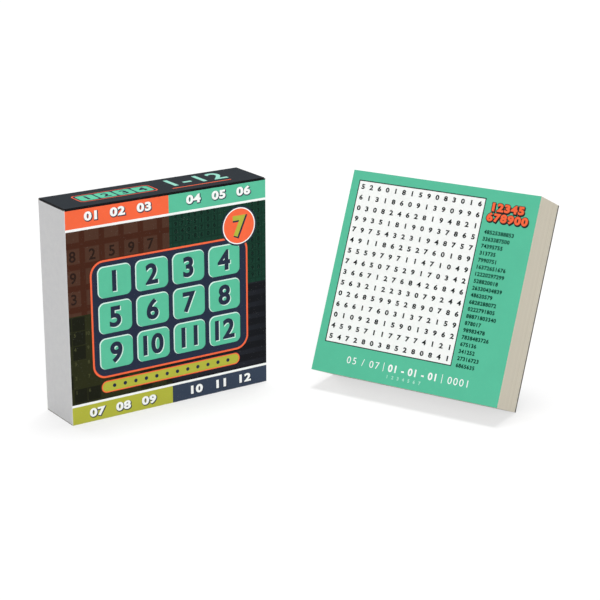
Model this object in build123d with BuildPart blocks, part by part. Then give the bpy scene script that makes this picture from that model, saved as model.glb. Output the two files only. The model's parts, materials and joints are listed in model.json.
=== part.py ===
import os
from math import cos, radians, sin

from build123d import *

os.makedirs("parts", exist_ok=True)

# Leaves of the pad. A Saturday and its Sunday share one leaf, so a month has fewer leaves than days.
leaf_width = 131.0
leaf_height = 131.0
leaf_thickness = 0.09
month_names = (
    "january",
    "february",
    "march",
    "april",
    "may",
    "june",
    "july",
    "august",
    "september",
    "october",
    "november",
    "december",
)
month_leaves = (26, 24, 27, 26, 26, 26, 27, 26, 26, 26, 26, 27)
loose_names = ("leaf_day_3", "leaf_day_2", "leaf_day_1")

# Backing board and the glue that binds the top edges of the leaves
backing_thickness = 1.8
glue_thickness = 0.35
glue_setback = 0.5

# How the pad stands: it leans back on its rear lower edge and on the easel leg
pad_x = 139.4
pad_y = -90.8
pad_yaw = -66.0
pad_lean = 23.7

# Easel on the back of the board
easel_thickness = 1.2
easel_angle = 42.0
easel_hinge_share = 0.748
easel_plate_height = 20.0
easel_plate_width = 46.0
easel_leg_top_width = 46.0
easel_leg_foot_width = 66.0
easel_corner = 4.0
crease_gap = 0.3
brace_start_share = 0.4273
brace_width = 16.0
brace_share = 0.85
brace_clearance = 0.3
brace_side_gap = 0.5
brace_end_gap = 0.6
brace_corner = 3.0

# Folding carton. Its inside follows the pad with the easel folded flat.
board = 0.45
room_side = 4.05
room_depth = 1.93
room_top = 1.2
lid_gap = 0.2
lid_fit = 0.25
lid_side_gap = 0.3
tuck_length = 11.0
tuck_slant = 14.0
tuck_end_gap = 3.0
tuck_corner = 6.0
dust_length = 24.0
dust_back_gap = 1.5
dust_taper = 0.65
dust_front_gap = 6.0
dust_corner = 2.0
glue_flap_width = 12.0
glue_flap_end_gap = 1.5
bottom_fit = 0.3
bottom_flap_length = 28.0
bottom_flap_gap = 1.5

# Derived sizes
stack = sum(month_leaves) * leaf_thickness
pad_depth = backing_thickness + stack
loose_depth = len(loose_names) * leaf_thickness
carton_width = leaf_width + 2 * room_side + 2 * board
carton_depth = pad_depth + easel_thickness + room_depth + 2 * board
carton_height = leaf_height + glue_thickness + room_top + lid_gap + 5 * board
half_width = carton_width / 2
half_depth = carton_depth / 2
inner_half_width = half_width - board
inner_half_depth = half_depth - board
side_top = carton_height - 2 * board - lid_gap
lid_front = -inner_half_depth + lid_fit
lid_length = half_depth - lid_front

# Planes of the pad: x to its right, y up along it, z out of its front
lean = radians(pad_lean)
yaw = radians(pad_yaw)
pad_plane = Plane(
    origin=(pad_x, pad_y, 0),
    x_dir=(cos(yaw), sin(yaw), 0),
    z_dir=(sin(yaw) * cos(lean), -cos(yaw) * cos(lean), sin(lean)),
)

# Easel leg: it swings on the rear face of the board strip above it, and its front lower edge meets the table
leg_open = radians(easel_angle)
easel_hinge_height = easel_hinge_share * leaf_height
leg_rise = easel_hinge_height * cos(lean) - easel_thickness * sin(lean)
leg_length = (leg_rise - easel_thickness * sin(leg_open - lean)) / cos(leg_open - lean)
leg_plane = Plane(
    origin=pad_plane.from_local_coords((0, easel_hinge_height, -easel_thickness)),
    x_dir=pad_plane.x_dir,
    z_dir=pad_plane.z_dir * cos(leg_open) - pad_plane.y_dir * sin(leg_open),
)

# Brace: a tongue cut out of the leg that swings forward until its end meets the backing board
brace_open = brace_share * leg_open
brace_start = brace_start_share * leg_length
brace_reach = brace_start * sin(leg_open) + easel_thickness * (1 - cos(leg_open)) - brace_clearance
brace_length = brace_reach / sin(brace_open)
brace_plane = Plane(
    origin=leg_plane.from_local_coords((0, -brace_start, easel_thickness)),
    x_dir=pad_plane.x_dir,
    z_dir=pad_plane.z_dir * cos(brace_open) + pad_plane.y_dir * sin(brace_open),
)

# Tuck flap of the lid: it slants into the carton so that it draws out past the front panel
slant = radians(tuck_slant)
tuck_plane = Plane(
    origin=(0, lid_front, carton_height - board),
    x_dir=(1, 0, 0),
    z_dir=(0, -cos(slant), -sin(slant)),
)

# Carton walls
with BuildPart() as carton_front_panel:
    with BuildSketch(Plane.XY):
        with Locations((0, -half_depth + board / 2)):
            Rectangle(carton_width, board)
    extrude(amount=carton_height)

with BuildPart() as carton_back_panel:
    with BuildSketch(Plane.XY):
        with Locations((0, half_depth - board / 2)):
            Rectangle(carton_width, board)
    extrude(amount=carton_height - board)

with BuildPart() as carton_left_panel:
    with BuildSketch(Plane.XY.offset(board)):
        with Locations((-half_width + board / 2, 0)):
            Rectangle(board, 2 * inner_half_depth)
    extrude(amount=side_top - board)

with BuildPart() as carton_right_panel:
    with BuildSketch(Plane.XY.offset(board)):
        with Locations((half_width - board / 2, 0)):
            Rectangle(board, 2 * inner_half_depth)
    extrude(amount=side_top - board)

with BuildPart() as carton_glue_flap:
    with BuildSketch(Plane.XY.offset(3 * board + glue_flap_end_gap)):
        with Locations((inner_half_width - glue_flap_width / 2, inner_half_depth - board / 2)):
            Rectangle(glue_flap_width, board)
    extrude(amount=side_top - 3 * board - 2 * glue_flap_end_gap)

# Glued bottom: dust flaps inside, then the inner flap, then the outer flap
with BuildPart() as carton_bottom_outer:
    with BuildSketch(Plane.XY):
        Rectangle(carton_width, 2 * inner_half_depth)
    extrude(amount=board)

with BuildPart() as carton_bottom_inner:
    with BuildSketch(Plane.XY.offset(board)):
        Rectangle(2 * inner_half_width - 2 * bottom_fit, 2 * inner_half_depth)
    extrude(amount=board)

with BuildPart() as carton_bottom_dust_left:
    with BuildSketch(Plane.XY.offset(2 * board)):
        with Locations((-inner_half_width + bottom_flap_length / 2, 0)):
            Rectangle(bottom_flap_length, 2 * inner_half_depth - 2 * bottom_flap_gap)
    extrude(amount=board)

with BuildPart() as carton_bottom_dust_right:
    with BuildSketch(Plane.XY.offset(2 * board)):
        with Locations((inner_half_width - bottom_flap_length / 2, 0)):
            Rectangle(bottom_flap_length, 2 * inner_half_depth - 2 * bottom_flap_gap)
    extrude(amount=board)

# Lid with its tuck flap, hinged on the top edge of the back panel
with BuildPart() as carton_lid_panel:
    with BuildSketch(Plane.XY.offset(carton_height - board)):
        with Locations((0, lid_front + lid_length / 2)):
            Rectangle(carton_width - 2 * lid_side_gap, lid_length)
    extrude(amount=board)

with BuildPart() as carton_tuck_flap:
    with BuildSketch(tuck_plane) as tuck_outline:
        with Locations((0, -(crease_gap + tuck_length) / 2)):
            Rectangle(carton_width - 2 * tuck_end_gap, tuck_length - crease_gap)
        fillet(tuck_outline.vertices().group_by(Axis.Y)[0], radius=tuck_corner)
    extrude(amount=-board)

# Dust flaps under the lid: tapered towards the lid's hinge so that they can rise with it
dust_rear = half_depth - dust_back_gap
dust_rear_tip = dust_rear - dust_taper * dust_length
dust_front = -inner_half_depth + dust_front_gap

with BuildPart() as carton_dust_flap_left:
    with BuildSketch(Plane.XY.offset(side_top)) as dust_left_outline:
        with BuildLine():
            Polyline(
                (-half_width, dust_front),
                (-half_width + dust_length, dust_front),
                (-half_width + dust_length, dust_rear_tip),
                (-half_width, dust_rear),
                close=True,
            )
        make_face()
        fillet(dust_left_outline.vertices().group_by(Axis.X)[-1], radius=dust_corner)
    extrude(amount=board)

with BuildPart() as carton_dust_flap_right:
    with BuildSketch(Plane.XY.offset(side_top)) as dust_right_outline:
        with BuildLine():
            Polyline(
                (half_width, dust_front),
                (half_width, dust_rear),
                (half_width - dust_length, dust_rear_tip),
                (half_width - dust_length, dust_front),
                close=True,
            )
        make_face()
        fillet(dust_right_outline.vertices().group_by(Axis.X)[0], radius=dust_corner)
    extrude(amount=board)

# Backing board
with BuildPart() as backing_board:
    with BuildSketch(pad_plane):
        with Locations((0, leaf_height / 2)):
            Rectangle(leaf_width, leaf_height)
    extrude(amount=backing_thickness)

backing_board.part.label = "backing_board"
export_step(backing_board.part, "parts/backing_board.step")

# Month blocks from the board forward, December first. The first days of January are loose leaves.
front = backing_thickness
for month_name, count in zip(reversed(month_names), reversed(month_leaves)):
    depth = count * leaf_thickness
    if month_name == month_names[0]:
        depth = depth - loose_depth
    with BuildPart() as month_block:
        with BuildSketch(pad_plane.offset(front)):
            with Locations((0, leaf_height / 2)):
                Rectangle(leaf_width, leaf_height)
        extrude(amount=depth)
    month_block.part.label = "leaves_" + month_name
    export_step(month_block.part, "parts/leaves_" + month_name + ".step")
    front = front + depth

# Glue film over the top edges of the board and of the month blocks
with BuildPart() as binding_glue:
    with BuildSketch(pad_plane):
        with Locations((0, leaf_height + glue_thickness / 2)):
            Rectangle(leaf_width, glue_thickness)
    extrude(amount=front - glue_setback)

# Loose leaves, each lying on the one behind it
for loose_name in loose_names:
    with BuildPart() as loose_leaf:
        with BuildSketch(pad_plane.offset(front)):
            with Locations((0, leaf_height / 2)):
                Rectangle(leaf_width, leaf_height)
        extrude(amount=leaf_thickness)
    loose_leaf.part.label = loose_name
    export_step(loose_leaf.part, "parts/" + loose_name + ".step")
    front = front + leaf_thickness

# Easel
with BuildPart() as easel_hinge_plate:
    with BuildSketch(pad_plane) as plate_outline:
        with Locations((0, easel_hinge_height + easel_plate_height / 2)):
            Rectangle(easel_plate_width, easel_plate_height)
        fillet(plate_outline.vertices().group_by(Axis.Y)[-1], radius=easel_corner)
    extrude(amount=-easel_thickness)

with BuildPart() as easel_leg:
    with BuildSketch(leg_plane) as leg_outline:
        with BuildLine():
            Polyline(
                (-easel_leg_top_width / 2, -crease_gap),
                (-easel_leg_foot_width / 2, -leg_length),
                (easel_leg_foot_width / 2, -leg_length),
                (easel_leg_top_width / 2, -crease_gap),
                close=True,
            )
        make_face()
        fillet(leg_outline.vertices().group_by(Axis.Y)[0], radius=easel_corner)
        with Locations((0, -brace_start - (brace_length + brace_end_gap) / 2)):
            Rectangle(
                brace_width + 2 * brace_side_gap,
                brace_length + brace_end_gap,
                mode=Mode.SUBTRACT,
            )
    extrude(amount=easel_thickness)

with BuildPart() as easel_brace:
    with BuildSketch(brace_plane) as brace_outline:
        with Locations((0, -(crease_gap + brace_length) / 2)):
            Rectangle(brace_width, brace_length - crease_gap)
        fillet(brace_outline.vertices().group_by(Axis.Y)[0], radius=brace_corner)
    extrude(amount=-easel_thickness)

carton_front_panel.part.label = "carton_front_panel"
carton_back_panel.part.label = "carton_back_panel"
carton_left_panel.part.label = "carton_left_panel"
carton_right_panel.part.label = "carton_right_panel"
carton_glue_flap.part.label = "carton_glue_flap"
carton_bottom_outer.part.label = "carton_bottom_outer"
carton_bottom_inner.part.label = "carton_bottom_inner"
carton_bottom_dust_left.part.label = "carton_bottom_dust_left"
carton_bottom_dust_right.part.label = "carton_bottom_dust_right"
carton_lid_panel.part.label = "carton_lid_panel"
carton_tuck_flap.part.label = "carton_tuck_flap"
carton_dust_flap_left.part.label = "carton_dust_flap_left"
carton_dust_flap_right.part.label = "carton_dust_flap_right"
binding_glue.part.label = "binding_glue"
easel_hinge_plate.part.label = "easel_hinge_plate"
easel_leg.part.label = "easel_leg"
easel_brace.part.label = "easel_brace"

export_step(carton_front_panel.part, "parts/carton_front_panel.step")
export_step(carton_back_panel.part, "parts/carton_back_panel.step")
export_step(carton_left_panel.part, "parts/carton_left_panel.step")
export_step(carton_right_panel.part, "parts/carton_right_panel.step")
export_step(carton_glue_flap.part, "parts/carton_glue_flap.step")
export_step(carton_bottom_outer.part, "parts/carton_bottom_outer.step")
export_step(carton_bottom_inner.part, "parts/carton_bottom_inner.step")
export_step(carton_bottom_dust_left.part, "parts/carton_bottom_dust_left.step")
export_step(carton_bottom_dust_right.part, "parts/carton_bottom_dust_right.step")
export_step(carton_lid_panel.part, "parts/carton_lid_panel.step")
export_step(carton_tuck_flap.part, "parts/carton_tuck_flap.step")
export_step(carton_dust_flap_left.part, "parts/carton_dust_flap_left.step")
export_step(carton_dust_flap_right.part, "parts/carton_dust_flap_right.step")
export_step(binding_glue.part, "parts/binding_glue.step")
export_step(easel_hinge_plate.part, "parts/easel_hinge_plate.step")
export_step(easel_leg.part, "parts/easel_leg.step")
export_step(easel_brace.part, "parts/easel_brace.step")
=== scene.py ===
# %% [markdown]
# A tear off day calendar stands beside the carton it came in. The carton is thin printed
# board folded into a box. The pad is 313 leaves glued along their top edges, on a stiff
# board with a card easel behind it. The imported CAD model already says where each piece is
# and how it moves, so this lesson only dresses it, and never moves a CAD part.

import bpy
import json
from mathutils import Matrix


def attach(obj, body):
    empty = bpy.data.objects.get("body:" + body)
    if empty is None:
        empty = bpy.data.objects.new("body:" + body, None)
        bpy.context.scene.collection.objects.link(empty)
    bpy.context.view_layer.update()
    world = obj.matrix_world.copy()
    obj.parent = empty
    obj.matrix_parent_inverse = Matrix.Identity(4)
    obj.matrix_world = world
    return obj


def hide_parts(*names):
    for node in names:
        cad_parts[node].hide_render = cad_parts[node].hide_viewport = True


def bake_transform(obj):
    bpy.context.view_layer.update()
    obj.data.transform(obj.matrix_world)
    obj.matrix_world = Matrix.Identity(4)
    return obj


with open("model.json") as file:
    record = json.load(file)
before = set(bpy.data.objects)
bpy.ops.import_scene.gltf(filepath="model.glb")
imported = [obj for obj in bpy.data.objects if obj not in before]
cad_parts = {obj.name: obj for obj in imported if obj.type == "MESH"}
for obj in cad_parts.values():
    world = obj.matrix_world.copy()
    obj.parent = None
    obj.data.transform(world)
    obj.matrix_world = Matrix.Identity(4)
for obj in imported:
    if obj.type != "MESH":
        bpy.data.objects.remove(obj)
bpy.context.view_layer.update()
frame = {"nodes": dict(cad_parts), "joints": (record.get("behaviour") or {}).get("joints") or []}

# %% Blender's tools and one unit
import json
import math
import random
from functools import cache

import bmesh
import bpy
import numpy as np
from mathutils import Matrix, Vector, noise
from mathutils.geometry import delaunay_2d_cdt

MM = 0.001
scene = bpy.context.scene
scene.view_settings.view_transform = "Standard"
print("drawn in millimetres, stored in metres, so 1 mm is", MM)

# %% [markdown]
# Paper is flat, so each sheet is easiest to draw in a frame of its own: x runs across it,
# y runs up it, and z comes out of its printed face. The carton's panels stand square, so
# their frames follow the axes of the scene.

# %% Frames for the carton
RIGHT, BACK, UP = Vector((1, 0, 0)), Vector((0, 1, 0)), Vector((0, 0, 1))
ORIGIN = Vector((0, 0, 0))


def sheet_frame(origin, across, up):
    """The matrix of a sheet whose face looks along across x up."""
    place = Matrix((across, up, across.cross(up))).transposed().to_4x4()
    place.translation = origin
    return place


def extent(node_name, place):
    """Lowest and highest corner of a CAD node, seen in a sheet's frame."""
    to_sheet = place.inverted()
    corners = [to_sheet @ v.co for v in frame["nodes"][node_name].data.vertices]
    return Vector(min(c) for c in zip(*corners)), Vector(max(c) for c in zip(*corners))


front_frame = sheet_frame(ORIGIN, RIGHT, UP)
back_frame = sheet_frame(ORIGIN, -RIGHT, UP)
top_frame = sheet_frame(ORIGIN, RIGHT, BACK)
carton_low = extent("carton_back_panel", front_frame)[0]
carton_high = extent("carton_front_panel", front_frame)[1]
print("carton", [round(c / MM, 1) for c in carton_high - carton_low], "mm wide, high and deep")

# %% [markdown]
# The pad leans back and is turned, and its axes could be typed in as numbers. They are read
# from the joints and from the backing board instead, so that the print stays on the leaves
# if the CAD model is packed again.

# %% A frame for the pad
joints = {joint["name"]: joint for joint in frame["joints"]}
pad_across = -Vector(joints["easel_leg_fold"]["axis"]).normalized()
pad_out = Vector(joints["leaf_1_tear_off"]["axis"]).normalized()
pad_up = pad_out.cross(pad_across)
turned = sheet_frame(ORIGIN, pad_across, pad_up)
low, high = extent("backing_board", turned)
foot = turned @ Vector(((low.x + high.x) / 2, low.y, low.z))
pad_frame = sheet_frame(foot, pad_across, pad_up)
print("pad stands at", [round(c / MM, 1) for c in foot], "mm")

# %% [markdown]
# Blender's shaders work with linear light. Its values could be typed in at once, but they are
# hard to picture, so colours are written the way a picture editor shows them, from 0 to 255,
# and turned into linear light here.

# %% Colours
def shade(red, green, blue):
    """A colour from 0 to 255 as linear light."""
    def linear(c):
        c /= 255
        return c / 12.92 if c <= 0.04045 else ((c + 0.055) / 1.055) ** 2.4
    return (linear(red), linear(green), linear(blue), 1.0)


ORANGE, LIME, NAVY = shade(250, 107, 67), shade(182, 184, 67), shade(56, 67, 85)
print("orange as linear light", [round(c, 3) for c in ORANGE])

# %% [markdown]
# Nodes could be wired by hand in the Shader editor. A few small helpers do the same in code
# and keep each finish readable. One makes a node and feeds its inputs; the others name the
# nodes that paper needs most: sums, noises, ranges and mixed colours.

# %% Helpers for nodes
def node(tree, kind, **settings):
    made = tree.nodes.new(kind)
    for key, value in settings.items():
        setattr(made, key, value)
    return made


def feed(tree, target, source):
    """Links a socket, or writes a plain value into it."""
    if isinstance(source, bpy.types.NodeSocket):
        tree.links.new(source, target)
    else:
        target.default_value = source


def wire(tree, kind, sources, output=0, **settings):
    """A node with its inputs fed by number or by title; returns one of its outputs."""
    made = node(tree, kind, **settings)
    for key, source in sources.items():
        feed(tree, made.inputs[key], source)
    return made.outputs[output]


def maths(tree, operation, *sources, clamp=False):
    return wire(tree, "ShaderNodeMath", dict(enumerate(sources)), operation=operation,
                use_clamp=clamp)


def vectors(tree, operation, *sources):
    return wire(tree, "ShaderNodeVectorMath", dict(enumerate(sources)), operation=operation)


print("nodes are wired in Blender", bpy.app.version_string)

# %% Helpers for noise and colour
NOISE_LOW, NOISE_HIGH = 0.3, 0.7


def cloud(tree, where, scale, detail=3.0):
    """A noise; its values hardly leave the range from NOISE_LOW to NOISE_HIGH."""
    return wire(tree, "ShaderNodeTexNoise",
                {"Vector": where, "Scale": scale, "Detail": detail}, "Fac")


def spread(tree, value, low_in, high_in, low_out, high_out, smooth=False):
    """A value brought from one range to another."""
    titles = ("Value", "From Min", "From Max", "To Min", "To Max")
    sources = dict(zip(titles, (value, low_in, high_in, low_out, high_out)))
    kind = "SMOOTHSTEP" if smooth else "LINEAR"
    return wire(tree, "ShaderNodeMapRange", sources, "Result", interpolation_type=kind)


def drifting(tree, grain, low_out, high_out):
    """A value that drifts between two bounds as a noise does."""
    return spread(tree, grain, NOISE_LOW, NOISE_HIGH, low_out, high_out)


def weighed(tree, first, share, second):
    """Two values added up, with the given share of the first."""
    return maths(tree, "ADD", maths(tree, "MULTIPLY", first, share),
                 maths(tree, "MULTIPLY", second, 1 - share))


def toned(tree, colour, level):
    """A colour made lighter or darker."""
    return wire(tree, "ShaderNodeVectorMath", {0: colour, "Scale": level}, operation="SCALE")


def mixed(tree, share, first, second):
    """A colour between two; a Mix node has its colours at inputs 6 and 7 and output 2."""
    return wire(tree, "ShaderNodeMix", {0: share, 6: first, 7: second}, 2, data_type="RGBA")


print("a noise is read from", NOISE_LOW, "to", NOISE_HIGH)

# %% [markdown]
# Paper and board are felts of short fibres, all through this object, so their grain is a
# node group that every paper finish shares. One noise alone would look like plaster. Two do
# better: a cloudy one for how the pulp settled, and a fine one, stretched along the machine
# direction, for the fibres themselves.

# %% Node group: paper fibre
def new_group(name, inputs, outputs):
    group = bpy.data.node_groups.new(name, "ShaderNodeTree")
    for title, kind, value in inputs:
        socket = group.interface.new_socket(title, in_out="INPUT", socket_type="NodeSocket" + kind)
        if value is not None:
            socket.default_value = value
    for title, kind in outputs:
        group.interface.new_socket(title, in_out="OUTPUT", socket_type="NodeSocket" + kind)
    return group, node(group, "NodeGroupInput").outputs, node(group, "NodeGroupOutput").inputs


paper_fibre, given, result = new_group(
    "paper_fibre", [("Vector", "Vector", None), ("Size", "Float", 0.5)],
    [("Tone", "Float"), ("Height", "Float")])
per_size = maths(paper_fibre, "DIVIDE", 1 / MM, given["Size"])
pulp = cloud(paper_fibre, given["Vector"], maths(paper_fibre, "MULTIPLY", per_size, 0.22))
stretched = vectors(paper_fibre, "MULTIPLY", given["Vector"], (1.0, 0.16, 1.0))
hairs = cloud(paper_fibre, stretched, maths(paper_fibre, "MULTIPLY", per_size, 2.4), detail=5.0)
feed(paper_fibre, result["Tone"], weighed(paper_fibre, pulp, 0.55, hairs))
feed(paper_fibre, result["Height"], hairs)
print("made", paper_fibre.name)

# %% [markdown]
# Offset print is never quite even: solid areas mottle, tiny spots of paper stay bare, and
# the ink's gloss wanders. Each ink could have its own nodes, but every change would then be
# made many times over. One group gives each ink its colour, gloss and surface from the same
# recipe, with the paper's fibre showing through.

# %% Node group: printed ink
BARE_PAPER = (0.75, 0.74, 0.7, 1.0)


def placed(tree, group, **values):
    """Puts a group in a tree; a_name in the call is the socket A Name."""
    made = node(tree, "ShaderNodeGroup", node_tree=group)
    for key, source in values.items():
        feed(tree, made.inputs[key.replace("_", " ").title()], source)
    return made.outputs


printed_ink, given, result = new_group(
    "printed_ink", [("Vector", "Vector", None), ("Ink", "Color", (0.5, 0.5, 0.5, 1.0)),
                    ("Mottle", "Float", 0.08), ("Gloss", "Float", 0.5)],
    [("Color", "Color"), ("Roughness", "Float"), ("Height", "Float")])
fibre = placed(printed_ink, paper_fibre, vector=given["Vector"], size=0.6)
patches = cloud(printed_ink, given["Vector"], scale=70.0)
uneven = weighed(printed_ink, patches, 0.6, fibre["Tone"])
darker = maths(printed_ink, "SUBTRACT", 1.0, given["Mottle"])
lighter = maths(printed_ink, "ADD", 1.0, given["Mottle"])
ink = toned(printed_ink, given["Ink"], drifting(printed_ink, uneven, darker, lighter))
specks = cloud(printed_ink, given["Vector"], scale=2600.0, detail=1.0)
missed = spread(printed_ink, specks, 0.74, 0.8, 0.0, 0.35)
wander = drifting(printed_ink, uneven, -0.07, 0.07)
feed(printed_ink, result["Color"], mixed(printed_ink, missed, ink, BARE_PAPER))
feed(printed_ink, result["Roughness"], maths(printed_ink, "ADD", given["Gloss"], wander))
feed(printed_ink, result["Height"], fibre["Height"])
print("made", printed_ink.name)

# %% [markdown]
# Handling rubs board along its folds and corners first. That could be painted by hand, but
# the paint wouldn't follow a change of size. On a box it is a question of distance: a point
# of the surface is near an edge when two of its three distances to the sides are small. The
# group finds the second smallest one, breaks it up with noise, and lays the rubbed colour.

# %% Node group: edge rub
def parts_of(tree, vector):
    made = node(tree, "ShaderNodeSeparateXYZ")
    feed(tree, made.inputs[0], vector)
    return made.outputs


edge_rub, given, result = new_group(
    "edge_rub", [("Vector", "Vector", None), ("Color", "Color", (0.5, 0.5, 0.5, 1.0)),
                 ("Rubbed", "Color", (0.7, 0.7, 0.68, 1.0)), ("Low", "Vector", None),
                 ("High", "Vector", None), ("Width", "Float", 0.6 * MM), ("Amount", "Float", 0.6)],
    [("Color", "Color")])
from_low = vectors(edge_rub, "SUBTRACT", given["Vector"], given["Low"])
from_high = vectors(edge_rub, "SUBTRACT", given["High"], given["Vector"])
nearest = vectors(edge_rub, "ABSOLUTE", vectors(edge_rub, "MINIMUM", from_low, from_high))
a, b, c = parts_of(edge_rub, nearest)
total, least, most = (maths(edge_rub, way, maths(edge_rub, way, a, b), c)
                      for way in ("ADD", "MINIMUM", "MAXIMUM"))
middle = maths(edge_rub, "SUBTRACT", maths(edge_rub, "SUBTRACT", total, least), most)
widths = maths(edge_rub, "DIVIDE", middle, given["Width"])
near_edge = spread(edge_rub, widths, 0.0, 1.0, 1.0, 0.0, smooth=True)
scuffs = cloud(edge_rub, given["Vector"], scale=240.0, detail=4.0)
broken = spread(edge_rub, scuffs, 0.42, 0.62, 0.0, 1.0)
mask = maths(edge_rub, "MULTIPLY", maths(edge_rub, "MULTIPLY", near_edge, broken),
             given["Amount"], clamp=True)
feed(edge_rub, result["Color"], mixed(edge_rub, mask, given["Color"], given["Rubbed"]))
print("made", edge_rub.name)

# %% [markdown]
# The dark part of the carton's front carries faint tone on tone patterns. Each is one mark
# repeated in cells, which could be modelled, but as print it has no thickness. A group folds
# the sheet into cells and tells how far a point is from its cell's middle, measured squarely,
# with one random number for each cell.

# %% Node group: repeated cells
HALF_CELL = (0.5, 0.5, 0.0)
repeat_cells, given, result = new_group(
    "repeat_cells", [("Vector", "Vector", None), ("Count", "Vector", None)],
    [("Square", "Float"), ("Chance", "Float")])
counted = vectors(repeat_cells, "MULTIPLY", given["Vector"], given["Count"])
shifted = vectors(repeat_cells, "ADD", counted, HALF_CELL)
fraction = vectors(repeat_cells, "FRACTION", shifted)
inside = vectors(repeat_cells, "SUBTRACT", fraction, HALF_CELL)
across, along, _ = parts_of(repeat_cells, vectors(repeat_cells, "ABSOLUTE", inside))
lot = wire(repeat_cells, "ShaderNodeTexWhiteNoise",
           {"Vector": vectors(repeat_cells, "FLOOR", shifted)}, "Value", noise_dimensions="3D")
feed(repeat_cells, result["Square"], maths(repeat_cells, "MAXIMUM", across, along))
feed(repeat_cells, result["Chance"], lot)
print("made", repeat_cells.name)

# %% [markdown]
# With the groups ready, a finish is a short recipe: the place of a point goes in, and a
# colour, a roughness and a height come out. One function builds the material round it. What
# is the same all over, such as how strongly a finish shines, goes on the shader itself.

# %% From a recipe to a finish
BUMP_STRENGTH = 0.5


def make_finish(name, shine, raised, recipe):
    """A material from a recipe; raised is the height of its relief in millimetres."""
    made = bpy.data.materials.new(name)
    made.use_nodes = True
    tree = made.node_tree
    shader = tree.nodes["Principled BSDF"]
    shader.inputs["Specular IOR Level"].default_value = shine
    colour, roughness, height = recipe(tree, node(tree, "ShaderNodeTexCoord").outputs["Object"])
    relief = {"Strength": BUMP_STRENGTH, "Distance": raised * MM, "Height": height}
    feed(tree, shader.inputs["Base Color"], colour)
    feed(tree, shader.inputs["Roughness"], roughness)
    feed(tree, shader.inputs["Normal"], wire(tree, "ShaderNodeBump", relief))
    return made


print("relief is shown at", BUMP_STRENGTH, "of its height")

# %% [markdown]
# Inks are satin and take their colour from the printed ink group. Those at the carton's
# folds are rubbed there. A plain colour could be painted on each face instead, but then the
# mottle and the bare specks that tell print from plastic would be missing.

# %% Inks
INK_RAISED, RUB_WIDE, RUB_AMOUNT, FAINT_MOTTLE = 0.01, 0.5 * MM, 0.5, 0.02


def ink_finish(name, ink, mottle=0.05, gloss=0.55, shine=0.08, rubbed=False):
    """Printed ink, in a plain colour or in one that a function of the place wires."""
    def recipe(tree, where):
        plain = ink(tree, where) if callable(ink) else ink
        laid = placed(tree, printed_ink, vector=where, ink=plain, mottle=mottle, gloss=gloss)
        colour = laid["Color"]
        if rubbed:
            colour = placed(tree, edge_rub, vector=where, color=colour, low=carton_low,
                            high=carton_high, width=RUB_WIDE, amount=RUB_AMOUNT)["Color"]
        return colour, laid["Roughness"], laid["Height"]
    return make_finish(name, shine, INK_RAISED, recipe)


orange_ink = ink_finish("orange_ink", ORANGE, rubbed=True)
teal_ink = ink_finish("teal_ink", shade(93, 193, 157), rubbed=True)
lime_ink = ink_finish("lime_ink", LIME, rubbed=True)
navy_ink = ink_finish("navy_ink", NAVY, rubbed=True)
charcoal_ink = ink_finish("charcoal_ink", shade(43, 48, 53), shine=0.03, rubbed=True)
# Near-black painted shade for the carton's folds, cut edges and the gap under the lid.
painted_shade_ink = ink_finish("painted_shade_ink", shade(13, 14, 16))
shadow_ink = ink_finish("shadow_ink", shade(38, 46, 66))
white_ink = ink_finish("white_ink", shade(250, 252, 250), mottle=FAINT_MOTTLE)
glint_ink = ink_finish("glint_ink", shade(214, 240, 230), mottle=FAINT_MOTTLE)
pale_teal_ink = ink_finish("pale_teal_ink", shade(150, 214, 196))
print("inks", [m.name for m in bpy.data.materials if m.name.endswith("_ink")])

# %% [markdown]
# The carton's board is coated white outside and raw inside, and its cut edges are darker
# still. Three plain greys would do from afar, but look like plastic close up. So all three
# are the fibre group in other colours: the finish goes from a dark to a pale tone with the
# fibre, and gets rougher and smoother with it.

# %% Boards
def board_finish(name, pale, dark, grain, rough=0.8, shine=0.25, raised=0.03):
    def recipe(tree, where):
        fibre = placed(tree, paper_fibre, vector=where, size=grain)
        share = spread(tree, fibre["Tone"], 0.36, 0.64, 0.0, 1.0)
        roughness = drifting(tree, fibre["Tone"], rough - 0.08, rough + 0.08)
        return mixed(tree, share, dark, pale), roughness, fibre["Height"]
    return make_finish(name, shine, raised, recipe)


coated_board = board_finish("coated_board", shade(236, 236, 236), shade(230, 230, 231), 0.8,
                            rough=0.55, shine=0.15, raised=0.01)
raw_board = board_finish("raw_board", shade(192, 186, 174), shade(172, 165, 153), 0.6)
cut_board = board_finish("cut_board", shade(132, 127, 119), shade(104, 99, 92), 0.3)
print("boards", coated_board.name, raw_board.name, cut_board.name)

# %% [markdown]
# The four dark fields of the carton's front each have a pattern of their own: wide squares,
# small close ones, filled blocks and bars, only a little lighter or darker than the ground
# they lie on. Four sets of nodes could draw them, but they differ only in the size of the
# cell and of its mark, so one function makes them all.

# %% Patterned fields
RUST_CELL, GREEN_CELL, OLIVE_CELL, BAR_LONG, BAR_PITCH = 13.2, 4.6, 1 / 0.11, 1 / 0.003, 1 / 0.13
FIELD_MOTTLE, ALWAYS = 0.1, 1.1


def field_finish(name, ground, mark, cell, size, chance=ALWAYS, edge=0.05):
    """An ink with one mark in each cell; the cell is in millimetres, size a share of it."""
    def pattern(tree, where):
        count = (1 / cell[0] / MM, 1 / cell[1] / MM, 0.0)
        cells = placed(tree, repeat_cells, vector=where, count=count)
        shape = spread(tree, cells["Square"], size - edge, size + edge, 1.0, 0.0, smooth=True)
        drawn = maths(tree, "LESS_THAN", cells["Chance"], chance)
        return mixed(tree, maths(tree, "MULTIPLY", shape, drawn), ground, mark)
    return ink_finish(name, pattern, mottle=FIELD_MOTTLE)


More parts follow.
